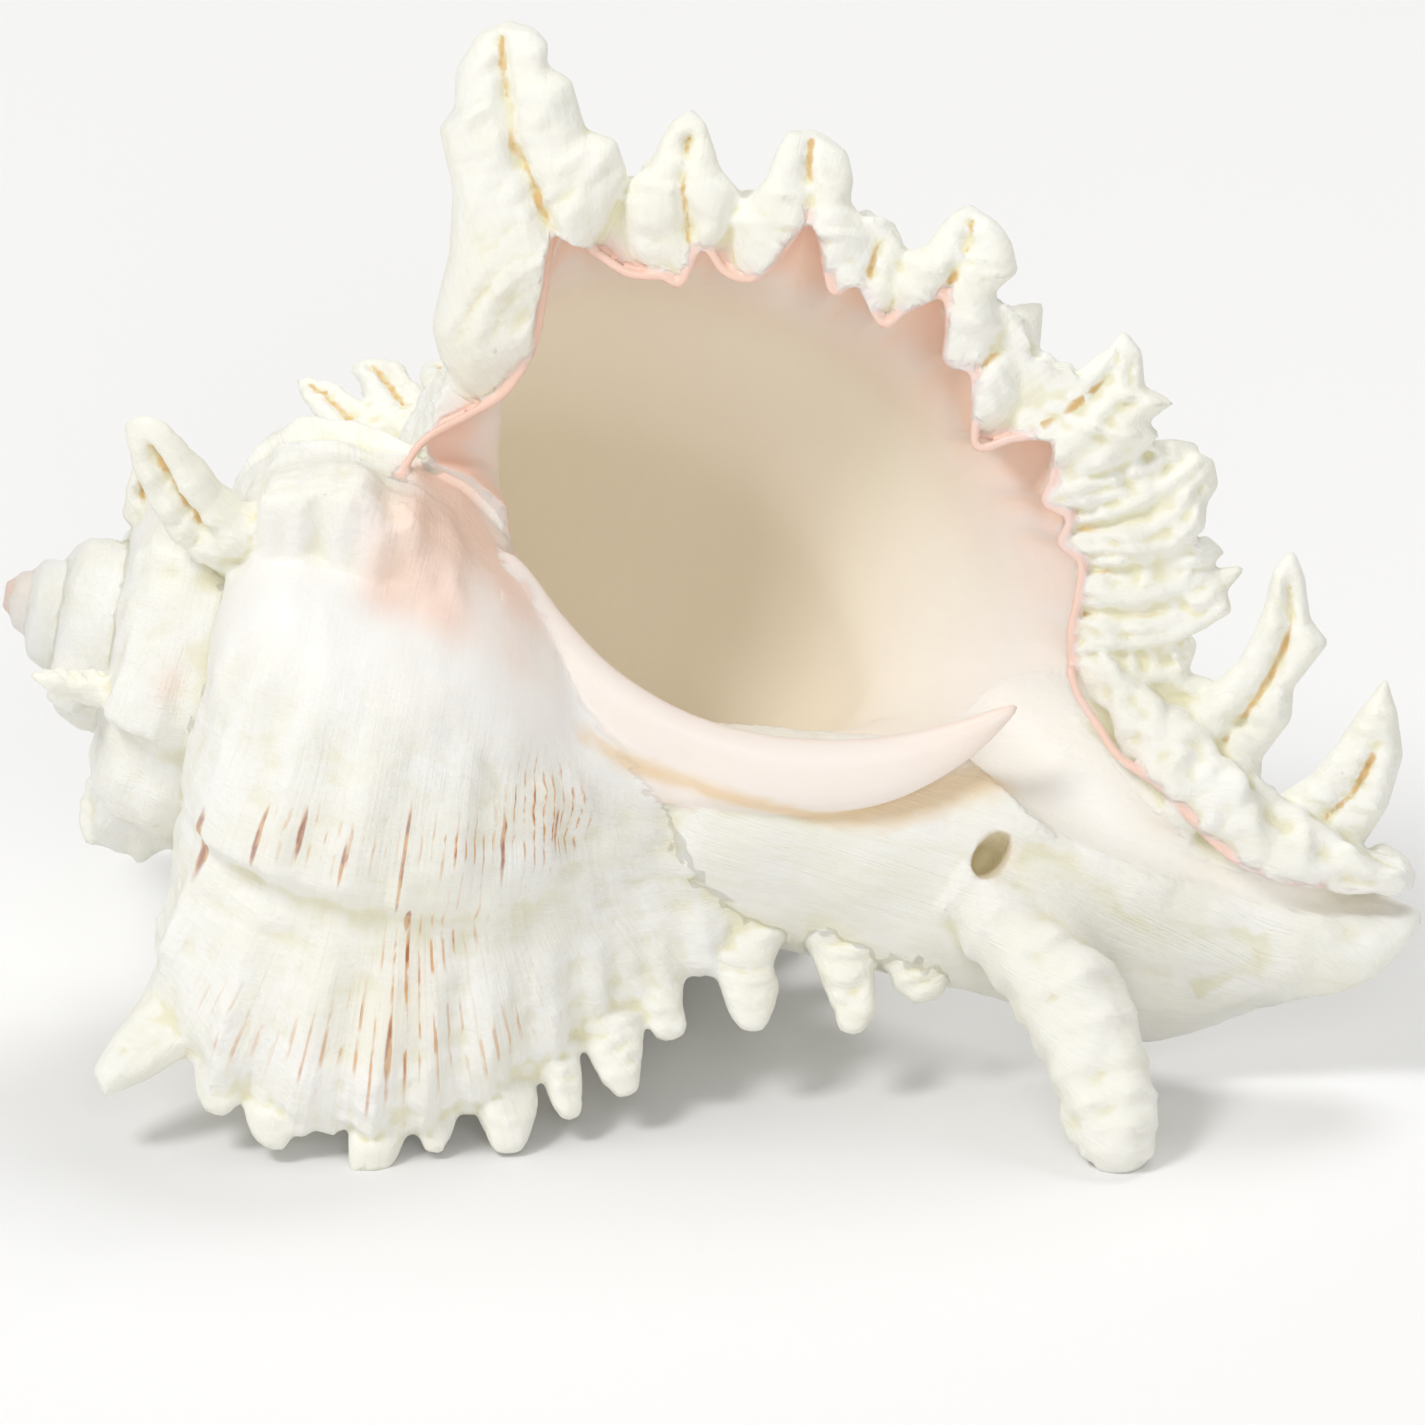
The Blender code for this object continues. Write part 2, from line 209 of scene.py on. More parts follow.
def grown(along):
    """Turn and size at a share of the whorls' length, so that columns are evenly far apart."""
    smallest = WHORL_GROWTH**-WHORLS
    size = smallest + (1 - smallest) * along
    return 360 * np.log(size) / math.log(WHORL_GROWTH), size


def packed(around):
    """Most rows go to the outside of the section, few to its hidden inner side."""
    return np.interp(around, (0, 0.88, 1), (0, 0.74, 1))


def whorl_place(along, around):
    turn, size = grown(along)
    share = packed(around)
    flare = opened_out(turn, share)[:, None]

    def section(at):
        plain = smooth_curve(WHORL_SECTION, at % 1, True)
        return plain + (smooth_curve(LIP_SECTION, at % 1, True) - plain) * flare

    here = section(share)
    nodes = sum(
        smoothstep(at - NODE_RISE, at, turn) * (1 - smoothstep(at, at + NODE_DROP, turn)) for at in NODE_TURNS
    )
    swell = 1 + nodes * NODE_SWELL * bump(NODE_PLACE, NODE_REACH, share)
    swell = swell - FLAT_SHARE * bump(FLAT_TURN, FLAT_WIDTH, turn)
    heading = section(share + 0.003) - section(share - 0.003)
    heading = heading / np.linalg.norm(heading, axis=1, keepdims=True)
    outward = np.stack([-heading[:, 1], heading[:, 0]], axis=-1)
    here = here * np.stack([np.ones_like(swell), swell], axis=-1)
    here = (here + outward * sculpture(turn, share)[:, None]) * size[:, None]
    return in_shell(here[:, 0], np.maximum(here[:, 1], 0.2), turn)


def whorl_tint(along, around):
    turn = grown(along)[0]
    return {"turn": turn, "glaze": glazed_over(turn, packed(around))}


WHORL_COLUMNS, WHORL_ROWS = 820, 300
coarse = 1
parts = [
    rolled_sheet("whorls", round(WHORL_COLUMNS * coarse), round(WHORL_ROWS * coarse), whorl_place, whorl_tint)
]

# ---------------------------------------------------------------------------------------------------
# The fronds. Each is the lip drawn out into a folded leaf, a channel whose two edges all but meet in a slit
# down its front. On the lip they are whole; on older varices they are worn shorter.

# Each leaf on the lip: its left and right edge from root to tip, half its depth, the depth of its channel,
# and the slit down its front, all in millimetres, points as (along, out).
LIP_LEAVES = (
    (((47, 36), (43, 44), (42, 52), (41.5, 60), (39.5, 68),
      (35.5, 75), (36.5, 78), (35, 83), (36, 88), (39.5, 91.5)),
     ((60, 58), (60, 68), (59.5, 77), (57, 80.5), (53, 80.5),
      (49.5, 86), (46, 87), (45.5, 90), (43.5, 91.5), (40.5, 91)),
     5.5, 1.6, ((53, 68), (51, 70), (47.5, 74), (45, 77), (43, 81), (41.5, 84), (39.5, 89))),
    (((60, 66), (60, 73), (60.5, 77), (62, 79), (62, 82), (62.5, 85), (64, 87.5)),
     ((75, 66), (74, 75), (73, 79.5), (70.5, 81), (68.5, 84), (67, 86.5), (65.5, 87.5)),
     3.4, 1.2, ((70, 71), (67.5, 76), (66, 80), (65.5, 84))),
    (((73, 66), (73.5, 76), (76, 81.5), (76.2, 86), (76.5, 88.5), (78.5, 90)),
     ((91, 66), (91, 78), (89, 81), (87, 82), (86.5, 85.5), (85, 88.5), (81, 90)),
     3.4, 1.2, ((83, 77), (82, 82), (80.5, 86), (80, 89))),
    (((87, 66), (87, 76), (88, 80), (90.5, 80.5), (91.3, 82)),
     ((96, 66), (96, 75), (95.5, 78.5), (94.5, 80), (93, 82)),
     2.6, 0.8, ((92, 74), (91.8, 78), (92, 80))),
    (((95, 64), (95, 73), (95.5, 78.5), (97.5, 79.5), (98, 82), (99, 85), (100.5, 87)),
     ((111, 64), (110, 73), (107.5, 77), (109.5, 80.5), (107.5, 84), (105, 86), (102, 87)),
     3.4, 1.4, ((101.5, 73), (102, 78), (102.5, 82), (102, 85))),
    (((104, 62), (106, 70), (108, 74), (110.5, 76.5), (113, 78)),
     ((114, 58), (114, 65), (113.5, 68), (115, 72), (114, 77.5)),
     2.6, 1.0, ((108, 66), (110, 70), (112, 74))),
    (((112, 56), (115, 63), (119, 67), (120.5, 71), (122.5, 74.5), (123.5, 77.5)),
     ((125, 54), (130, 61), (132.5, 66), (130.5, 67), (133, 70.5), (129, 71), (127.5, 75.5), (125, 77.5)),
     3.0, 1.0, ((117, 62), (121, 66), (124, 71))),
    (((117, 55), (123, 60), (129, 63.5), (134, 66), (137, 67)),
     ((122, 51), (128, 55), (133, 58.5), (136, 61), (138, 65.5)),
     2.4, 1.2, ((121, 56), (127, 60), (132, 63))),
    (((122, 52), (129, 56), (134, 61), (137.5, 65.5), (139.5, 65.5)),
     ((126, 46), (132, 49), (139, 52.5), (141.5, 56), (140.8, 59), (141.5, 62), (140, 65)),
     2.6, 1.3, ((124, 50), (131, 54), (136, 58))),
    (((125, 47), (132, 50), (138, 53), (142, 55.5), (145, 54.5)),
     ((128, 42), (134, 44), (139, 47.5), (143, 49.5), (144, 53)),
     2.4, 1.2, ((127, 46), (134, 48), (139, 51))),
    (((127, 43), (134, 46), (141, 50), (147, 53.5)),
     ((130, 36), (136, 37.5), (142.5, 41), (145.5, 44), (148, 47), (146.5, 49), (148, 52.5)),
     2.6, 1.2, ((130, 41), (137, 43), (142, 46))),
    (((129, 38), (135, 40), (140, 42), (144, 43)),
     ((132, 31), (138, 32), (142, 34.5), (145, 37), (145.5, 41)),
     2.8, 1.0, ((133, 36), (139, 38), (142, 39))),
    (((130, 36), (137, 36.5), (143, 37.5), (148, 38)),
     ((133, 29), (140, 29.5), (146, 31), (150, 33.5), (148.5, 35), (150, 37)),
     3.2, 1.2, ((135, 33), (141, 34), (146, 35))),
    (((138, 24), (143, 31), (147, 35), (150.5, 41), (151.3, 48), (150.8, 54), (151.5, 57)),
     ((158, 19), (158.5, 25), (157, 30), (159, 36), (158, 40),
      (160.5, 47), (157.5, 49), (155.5, 54), (153.5, 57)),
     3.6, 1.2, ((150, 24), (151.5, 30), (153.5, 36), (155, 42), (155.2, 48), (153.5, 53))),
    (((156, 17), (160, 25.5), (163.5, 30), (165.3, 35), (166.5, 40), (168.2, 45)),
     ((173, 17), (172.5, 24), (173.8, 29), (173.6, 36), (171.5, 41), (169, 45)),
     3.6, 0.7, ((165, 23), (169, 30), (170, 36))),
    (((168, 16), (171, 21), (174.5, 24.5), (178, 23.8)),
     ((172, 15), (176, 17), (180, 19), (180.3, 21.5)),
     2.6, 0.4, ((170, 18), (176, 21))),
)
# Rows of leaves on older varices: (base along, base out, tip along, tip out, half width, sideways bend).
FRONT_CORNER = (
    ((35, 30), (34.5, 38), (33.5, 46), (31.5, 52), (30.5, 56.5), (32.5, 59)),
    ((52, 34), (49, 41), (46, 47), (41, 51), (38, 55), (34, 59)),
    3.2, 0.8, ((42, 44), (38, 50), (35, 55)),
)
FRONT_ROW = (
    (46, 38, 47, 57, 4.5, 0), (53, 38, 54.5, 59, 5, 0), (60, 38, 61, 55, 3.5, 0),
    (66, 37, 67, 59, 5, 0), (71, 35, 74, 53, 3.5, 0), (77, 32, 83, 50, 5, 1), (82, 29, 89.5, 43, 3.5, 1),
    (87, 24, 95, 38, 4.2, 1), (92, 19, 98.5, 29, 3.8, 1), (101, 8, 107, 25, 4.4, 0),
    (112, 4, 119.5, 21, 4.4, 0), (121, 6, 127, 14, 4.5, 0),
)
HIDDEN_ROW = (
    (50, 46, 34, 88, 8, -4), (62, 60, 58, 84, 6, 0), (75, 62, 74, 86, 5.5, 0), (88, 60, 90, 82, 5.5, 1),
    (99, 56, 104, 76, 5.5, 1), (110, 50, 117, 66, 5, 1), (120, 42, 131, 55, 5, 1), (126, 33, 141, 40, 4.5, 0),
)
SPIRE_ROW = (
    (-322, 47, 42, 19, 69, 9, 4),
    (-430, 46, 44, 24, 64, 7, 2), (-537, 50, 48, 50, 66, 7, 0), (-620, 46, 44, 23, 63, 7.5, 2),
    (-735, 48, 46, 40, 66, 7, 0), (-845, 48, 46, 40, 66, 8, 0),
)
SHOULDER_STUBS = ((38, 38, 28, 47, 3, 0), (43, 42, 35, 53, 4, 0), (50, 47, 43, 56, 4, 0))
STUB_TURN = -50
FROND_TURN = 5
FAN_LEAVES = range(6, 13)
FAN_PLEATS, OTHER_PLEATS = 1.0, 0.25
SLIT_WIDTH, CHANNEL_WIDTH = 0.8, 2.4
SCALE_LENGTH, SCALE_HEIGHT, RIB_HEIGHT = 2.3, 0.75, 0.35
PLEATS_ACROSS, PLEAT_HEIGHT, SHADE_PATCH_SHARE = 9, 0.55, 0.14
FLATNESS, SWEPT_SHORT = 0.8, 0.005
LEAF_ROWS, COLUMNS_TO_A_MM, FEWEST_COLUMNS, SLIT_POINTS = 96, 2, 10, 90


def along_edge(edge, share):
    """Points down a leaf's edge, whose corners stay sharp."""
    edge = np.array(edge, float)
    steps = np.linspace(0, 1, len(edge))
    return np.stack([np.interp(share, steps, edge[:, 0]), np.interp(share, steps, edge[:, 1])], axis=-1)


def leaf(name, turn, left, right, half_depth, channel, slit, sweep, seed, pleated=0.0):
    """A folded leaf between two edges, with a channel down its front that closes to a slit.

    Its growth scales lie across it; pleated from 0 to 1 turns them into ridges down its length.
    """

    def lie(along, around, fill):
        near, far = along_edge(left, along), along_edge(right, along)
        centre, across = (near + far) / 2, (far - near) / 2
        angle = 2 * math.pi * around
        side, face = np.cos(angle), np.sin(angle)
        flat = np.sign(side) * np.abs(side) ** FLATNESS
        spot = centre + across * (flat * fill)[:, None]
        gap = np.min(np.linalg.norm(spot[:, None, :] - fine_slit[None, :, :], axis=2), axis=1)
        return spot, across, flat, face, gap

    def place(along, around):
        closing = np.sqrt(np.clip(1 - along**8, 0, 1)) * np.sqrt(np.minimum(1, along * 5))
        spot, across, flat, face, gap = lie(along, around, 0.25 + 0.75 * closing)
        width = np.maximum(np.linalg.norm(across, axis=1), 0.3)
        depth = half_depth * closing * (1.15 - 0.45 * along) * face
        cut = 1.5 * channel * bump(0, SLIT_WIDTH, gap) + 0.6 * channel * bump(0, CHANNEL_WIDTH, gap)
        ribs = ripples(np.stack([along * 30, flat * width * 0.3], axis=-1), 3.0, seed) * RIB_HEIGHT
        step = (along * length / SCALE_LENGTH + np.abs(flat) * 0.8 + ripples(spot, 9, seed + 1) * 0.3) % 1
        scales = (step**2 - 0.33) * (SCALE_HEIGHT - 0.5 * pleated)
        pleats = np.cos(flat * PLEATS_ACROSS + ripples(spot, 14, seed + 2) * 0.8) * PLEAT_HEIGHT * pleated
        depth = depth - cut * smoothstep(0, 0.35, face) * closing
        depth = depth + (ribs + scales + pleats) * np.sign(face) * np.abs(face) * closing
        swept = turn - sweep * along**2
        point = in_shell(spot[:, 0], spot[:, 1] * (1 - SWEPT_SHORT * sweep * along**2), swept)
        growth = in_shell(np.zeros_like(swept), np.ones_like(swept), swept + 90)
        return point + growth * depth[:, None]

    def tint(along, around):
        spot, _, _, face, gap = lie(along, around, 1.0)
        # The slit down the leaf's front gets painted shade, ochre, made patchy by noise.
        shade_patches = SHADE_PATCH_SHARE * pleated * (1 + ripples(spot, 7, seed + 3))
        near_slit = np.clip(1 - gap / CHANNEL_WIDTH, 0, 1) - shade_patches
        return {"turn": turn, "cream": 1.0, "slit": near_slit * smoothstep(0, 0.35, face)}

    fine_slit = smooth_curve(slit, np.linspace(0, 1, SLIT_POINTS), False)
    length = np.linalg.norm(np.diff(np.array(left, float), axis=0), axis=1).sum()
    columns = FEWEST_COLUMNS + length * COLUMNS_TO_A_MM
    return rolled_sheet(name, int(columns * coarse), int(LEAF_ROWS * coarse), place, tint)


def leaf_from_row(name, turn, size, row, sweep, seed):
    """A leaf of the given length and width, with teeth down both its edges."""
    dice = np.random.default_rng(seed)
    base, tip = np.array(row[0:2], float) * size, np.array(row[2:4], float) * size
    half_width, bend = row[4] * size, row[5] * size
    reach = tip - base
    length = np.linalg.norm(reach)
    root = base - reach / length * min(0.3 * length, 6 * size)
    sideways = np.array([-reach[1], reach[0]]) / length
    middle = (root + tip) / 2 + sideways * bend
    steps = np.linspace(0, 1, 9)[:, None]
    centre = root * (1 - steps) ** 2 + 2 * middle * steps * (1 - steps) + tip * steps**2
    heading = (middle - root) * (1 - steps) + (tip - middle) * steps
    heading = heading / np.linalg.norm(heading, axis=1, keepdims=True)
    across = np.stack([heading[:, 1], -heading[:, 0]], axis=-1)
    taper = half_width * (1.25 - 0.6 * steps)
    left = centre - across * taper * (1 + dice.uniform(-0.16, 0.2, (9, 1)))
    right = centre + across * taper * (1 + dice.uniform(-0.16, 0.2, (9, 1)))
    return leaf(name, turn, left, right, 0.62 * half_width, 0.28 * half_width, centre[3:8], sweep, seed)


for number, (left, right, half_depth, channel, slit) in enumerate(LIP_LEAVES):
    pleated = FAN_PLEATS if number in FAN_LEAVES else OTHER_PLEATS
    shape = (left, right, half_depth, channel, slit)
    parts.append(leaf("lip_leaf", 0, *shape, FROND_TURN, 20 + number, pleated))
parts.append(leaf("front_leaf", FRONT_VARIX, *FRONT_CORNER, 0, 59, 0.3))
for number, row in enumerate(FRONT_ROW):
    parts.append(leaf_from_row("front_leaf", FRONT_VARIX, 1, row, 0, 60 + number))
hidden_size = WHORL_GROWTH ** (HIDDEN_VARIX / 360)
for number, row in enumerate(HIDDEN_ROW):
    parts.append(leaf_from_row("hidden_leaf", HIDDEN_VARIX, hidden_size, row, FROND_TURN, 90 + number))
for number, (turn, *row) in enumerate(SPIRE_ROW):
    size = WHORL_GROWTH ** (turn / 360)
    parts.append(leaf_from_row("spire_leaf", turn, size, row, FROND_TURN, 120 + number))
for number, row in enumerate(SHOULDER_STUBS):
    parts.append(leaf_from_row("stub", STUB_TURN, 1, row, FROND_TURN, 150 + number))

# ---------------------------------------------------------------------------------------------------
# The siphonal canal: a broad, flattened tube that carried water to the gills, open along a narrow channel
# under the lip's edge. The canal of the growth stage before it stands off below, as a ringed, open stump.
# (along, lip, front, half width, half depth) down each.
CANAL = (
    (80, 0, 0, 9, 9), (92, 1, 0, 13, 13), (110, 4, 0, 16, 13), (128, 8, 0, 19, 11),
    (142, 8, 0, 18, 9), (152, 6, 0, 16, 8), (163, 9, 0, 11, 6), (174, 12, 0, 7.5, 4.5), (182, 17, 0, 2, 2),
)
CANAL_EDGE = (
    (133, 37, 0, 1.5, 1.5), (138, 33, 1, 3.2, 3.2), (145, 28.5, 2.5, 4.8, 4.6), (152, 25, 4, 5.2, 5),
    (160, 22, 4, 4.6, 4.5), (170, 21, 4, 3.6, 3.6), (179, 21.5, 3, 2.2, 2.2),
)
OLD_CANAL = (
    (118, 8, 2, 6, 6), (129, 5, 6, 7, 7), (138, 1, 12, 7, 7), (145.5, -4, 17, 6.8, 6.6),
    (151, -10.5, 21.5, 6.2, 5.6), (154.5, -15.5, 24.5, 5.2, 4.8), (156, -19, 26.5, 2.6, 2.6),
)
CANAL_RINGS = 11
BLUNTNESS = 14


def shell_axes(rows):
    """(along, lip, front) in the shell's own axes."""
    return np.stack([rows[:, 0], -rows[:, 2], rows[:, 1]], axis=-1)


def limb(name, stations, columns, rows, relief, tint):
    """A tube down a curve in space, with its own half width and half depth at each station."""

    def place(along, around):
        row = smooth_curve(stations, along, False)
        ahead = smooth_curve(stations, np.minimum(along + 0.01, 1), False)
        behind = smooth_curve(stations, np.maximum(along - 0.01, 0), False)
        heading = shell_axes(ahead) - shell_axes(behind)
        heading = heading / np.linalg.norm(heading, axis=1, keepdims=True)
        side = np.cross(heading, np.array([0.0, 1.0, 0.0]))
        side = side / np.linalg.norm(side, axis=1, keepdims=True)
        deep = np.cross(side, heading)
        closing = np.sqrt(np.clip(1 - (2 * along - 1) ** BLUNTNESS, 0, 1))
        angle = 2 * math.pi * around
        swell = relief(along, around) * closing
        width = (row[:, 3] * closing + swell) * np.cos(angle)
        depth = (row[:, 4] * closing + swell) * np.sin(angle)
        return shell_axes(row) + side * width[:, None] + deep * depth[:, None]

    return rolled_sheet(name, int(columns * coarse), int(rows * coarse), place, tint)


def tube_skin(along, around, length, radius):
    """Places on a plain tube, in millimetres, for a relief that joins up all round it."""
    angle = 2 * math.pi * around
    return np.stack([along * length, np.cos(angle) * radius, np.sin(angle) * radius], axis=-1)


def canal_relief(along, around):
    flat = tube_skin(along, around, 100, 12)
    return ripples(flat * (1, 0.7, 0.7), 5, 7) * 0.1 + ripples(flat, 16, 8) * 0.35


def ruffles(along, around):
    flat = tube_skin(along, around, 60, 5)
    return ripples(flat, 6, 10) * 0.55 + ripples(flat * (1, 0.5, 0.5), 2.6, 11) * 0.22


def rings(along, around):
    """Growth rings round the old canal, each a step that overlaps the next."""
    wave = (along * CANAL_RINGS + 0.06 * np.sin(2 * math.pi * around * 2)) % 1
    flat = tube_skin(along, around, 50, 6)
    return wave**2 * 0.7 - 0.3 + ripples(flat, 5, 9) * 0.25


def plain_tint(along, around):
    return {"turn": 0.0, "cream": 0.6}


parts.append(limb("canal", CANAL, 150, 110, canal_relief, plain_tint))
parts.append(limb("canal_edge", CANAL_EDGE, 110, 60, ruffles, plain_tint))
parts.append(limb("old_canal", OLD_CANAL, 90, 56, rings, plain_tint))

# ---------------------------------------------------------------------------------------------------
# The room inside. It is cut out of the solid coil: a smooth tube that follows the last whorl back from the
# mouth. At the mouth its edge is pleated, drawn out into each frond and in between them.
HOLLOW_SECTION = (
    (59, 30), (55, 37), (57, 45), (62, 49.5), (70, 51.5), (80, 52), (90, 50.5), (99, 46.5),
    (107, 40), (113, 32), (116, 25), (113, 18), (106, 14.5), (97, 12.5), (86, 11.5), (76, 13), (68, 19),
)
MOUTH_SECTION = (
    (58, 31), (55, 42), (54, 52), (56.5, 60), (66, 65), (83, 66.5), (95, 65.5), (105, 61.5),
    (114, 54), (121, 47), (126, 40), (128, 32), (121, 22), (107, 12.5), (88, 9.5), (75, 11), (65, 19.5),
)
LIP_EDGE = (
    (47, 33.5), (46, 36.5), (50, 41), (53.5, 45.5), (55, 52.5), (54, 60), (53, 68),
    (58, 66.5), (63.5, 65), (67.5, 66), (70, 66), (71, 71.5), (75, 69), (78.5, 69.5), (80.5, 73),
    (82.5, 79), (85, 77), (86.5, 74), (88.5, 71), (91, 73), (95.5, 69), (97.5, 71.5), (101.5, 75),
    (103.5, 71), (104.5, 67), (108, 66.5), (110, 61), (111.5, 57.5), (115.5, 60.2), (120, 61.5),
    (121.5, 57), (121.5, 53.5), (125, 52.5), (125, 49), (128, 47.5), (129, 43), (129.5, 38.5), (131, 34),
)
MOUTH_CLOSE = ((126, 28), (121, 22), (107, 12.5), (88, 9.5), (75, 11), (65, 19.5), (58, 31), (52, 33.5))
HOLLOW_END_TURN = -330
HOLLOW_PAST_LIP = 16
HOLLOW_ROUND_END = 30
PLEAT_TURN = 18
PINK_TURN = 26


def outline(points, centre, angle):
    """How far an outline lies from a centre, in the direction of each angle."""
    rays = np.array(points, float) - centre
    ways, reach = np.arctan2(rays[:, 1], rays[:, 0]), np.hypot(rays[:, 0], rays[:, 1])
    order = np.argsort(ways)
    return np.interp(angle, ways[order], reach[order], period=2 * math.pi)


def even_outline(points, centre, angle):
    dense = smooth_curve(points, np.linspace(0, 1, 400, endpoint=False), True)
    return outline(dense, centre, angle)


ROOM_CENTRE, MOUTH_CENTRE = np.array([85.0, 33.0]), np.array([93.0, 42.0])


def hollow_place(along, around):
    length = HOLLOW_PAST_LIP - HOLLOW_END_TURN
    turn = HOLLOW_END_TURN + length * along
    size = WHORL_GROWTH ** (np.minimum(turn, 0) / 360)
    angle = 2 * math.pi * around - math.pi
    ray = np.stack([np.cos(angle), np.sin(angle)], axis=-1)
    flare = smoothstep(-FLARE_TURN, -4, turn)[:, None]
    pleat = (smoothstep(-PLEAT_TURN, 0.5, turn) ** 1.4)[:, None]
    plain = ROOM_CENTRE + ray * even_outline(HOLLOW_SECTION, ROOM_CENTRE, angle)[:, None]
    mouth = MOUTH_CENTRE + ray * even_outline(MOUTH_SECTION, MOUTH_CENTRE, angle)[:, None]
    edge = MOUTH_CENTRE + ray * outline(LIP_EDGE + MOUTH_CLOSE, MOUTH_CENTRE, angle)[:, None]
    section = plain + (mouth - plain) * flare
    section = section + (edge - section) * pleat
    closing = np.sqrt(np.clip(along * length / HOLLOW_ROUND_END, 0.01, 1))[:, None]
    section = (ROOM_CENTRE + (section - ROOM_CENTRE) * closing) * size[:, None]
    return in_shell(section[:, 0], section[:, 1], turn)


def hollow_tint(along, around):
    turn = HOLLOW_END_TURN + (HOLLOW_PAST_LIP - HOLLOW_END_TURN) * along
    angle = 2 * math.pi * around - math.pi
    canal_side = bump(-0.35, 0.6, angle) * smoothstep(-70, -10, turn)
    pink = smoothstep(-PINK_TURN, -2, turn) * (1 - bump(-1.3, 1.0, angle))
    pink = pink * (1 - 0.8 * bump(-0.4, 0.4, angle))
    return {"turn": turn, "inside": 1 - 0.85 * canal_side, "pink": pink, "glaze": 1.0}


hollow = rolled_sheet("hollow", int(300 * coarse), int(300 * coarse), hollow_place, hollow_tint)

# The channel from the mouth down the canal, steep under the lip's edge and gentle on the other side.
CANAL_SLIT = (
    (112, 30, -4, 9, 8), (120, 29, 1, 9, 8), (129, 26, 6, 8, 7), (138, 21, 9, 6, 5.5),
    (147, 18, 9.5, 4, 4), (158, 15.5, 8, 2.6, 3.5), (168, 16, 6, 2, 3.5),
    (176, 17.5, 3, 1.6, 5), (186, 19.5, 0, 1.5, 8),
)


def no_relief(along, around):
    return np.zeros_like(along)


def channel_tint(along, around):
    # Painted shade on the channel's floor, under the lip's edge.
    shade = bump(0.6, 1.0, 2 * math.pi * around) * smoothstep(0.3, 0.6, along)
    return {"turn": 0.0, "inside": 0.12, "recess_shade": 0.35 * shade, "glaze": 0.6}


channel = limb("channel", CANAL_SLIT, 110, 48, no_relief, channel_tint)

# The old canal's open end, where it was left behind.
PIT = (
    (129.5, 13.5, 17, 2.4, 3.4), (128.8, 10.5, 11, 2.2, 3.2), (128.2, 9, 8, 1.6, 2.2), (128, 8.5, 6, 0.8, 1),
)


def pit_tint(along, around):
    # Painted shade inside the old canal's open end.
    return {"turn": 0.0, "recess_shade": 0.35, "cream": 1.0}


pit = limb("pit", PIT, 24, 24, no_relief, pit_tint)

# ---------------------------------------------------------------------------------------------------
# The lip's thin pink rim and the glazed inner lip: porcelain-like enamel laid over the chalk. The inner lip
# is a smooth band that stands proud of the columella and ends in a free, curled tip.
RIM_FRONT = 1.2
RIM_RADIUS = 0.62
RIM_HOOK = ((48.5, 29.8, 12.5), (46, 30.2, 10.5), (44.3, 31.3, 7), (44.5, 33, 3.5))
CANAL_RIM = (
    (131, 34, 3), (133, 31.5, 4), (136.5, 29, 5.5), (140, 26.5, 6.5), (145, 25, 7), (149.5, 23, 7.5),
    (153.5, 20.5, 7.5), (158.5, 18.5, 7.5), (165.5, 18, 7), (174, 19.5, 5.5),
)
INNER_LIP = (
    (58, 29, 8, 2, 1.5), (66, 19.5, 10, 4.4, 2.4), (76, 13.5, 12, 5.4, 2.6), (88, 11.2, 13, 5.4, 2.6),
    (100, 12.5, 13, 5, 2.6), (111, 16.4, 12.5, 4.4, 2.2), (119.5, 22.6, 11.5, 2.9, 1.6),
    (126, 30, 10.5, 0.9, 0.9),
)


def rim_stations():
    lip_plane = [(along, lip, RIM_FRONT) for along, lip in LIP_EDGE[1:]]
    return [(*spot, RIM_RADIUS, RIM_RADIUS) for spot in list(RIM_HOOK) + lip_plane + list(CANAL_RIM)]


def rim_tint(along, around):
    return {"turn": 0.0, "pink": 1.0, "glaze": 1.0}


def inner_lip_tint(along, around):
    # Painted shade on the band's underside, under its overhang.
    underside = bump(2.75, 0.5, 2 * math.pi * around) * smoothstep(0.15, 0.3, along)
    peach = 0.55 + 0.4 * smoothstep(0.7, 1, along)
    return {"turn": 0.0, "peach": peach, "glaze": 1.0, "recess_shade": 0.6 * underside}


rim = limb("rim", rim_stations(), 700, 14, no_relief, rim_tint)
inner_lip = limb("inner_lip", INNER_LIP, 110, 48, no_relief, inner_lip_tint)

# ---------------------------------------------------------------------------------------------------
# One skin. The overlapping parts are fused as the animal fused them, hollowed, and turned to how the shell
# rests: on the front varix, on the old canal and on the varix behind.
SKIN_VOXEL = 0.42
FACES_KEPT = 196000
SOFT_REACH, SOFT_ROUNDS = (7.5, 3), 110
DIP_ROUNDS, HOLLOW_SHADE_ROUNDS = 5, 60
LINE_POINTS = 30
AXIS_SLOPE, LIP_LEAN, REST_TILT = 18, 18, 23.5
APEX = Vector((-89.791, -4.214, 58.758)) * MM


def joined(name, objects):
    mesh = bmesh.new()
    for obj in objects:
        mesh.from_mesh(obj.data)
        bpy.data.objects.remove(obj)
    return as_object(name, mesh)


def settle(obj):
    """Replaces the object's mesh by what its modifiers make of it."""
    graph = bpy.context.evaluated_depsgraph_get()
    data = bpy.data.meshes.new_from_object(obj.evaluated_get(graph))
    obj.modifiers.clear()
    obj.data = data


def fuse(obj, voxel):
    remesh = obj.modifiers.new("one skin", "REMESH")
    remesh.mode = "VOXEL"
    remesh.voxel_size = voxel * MM
    settle(obj)


def carve(obj, tool):
    boolean = obj.modifiers.new("carve", "BOOLEAN")
    boolean.operation = "DIFFERENCE"
    boolean.solver = "MANIFOLD"
    boolean.object = tool
    settle(obj)
    bpy.data.objects.remove(tool)


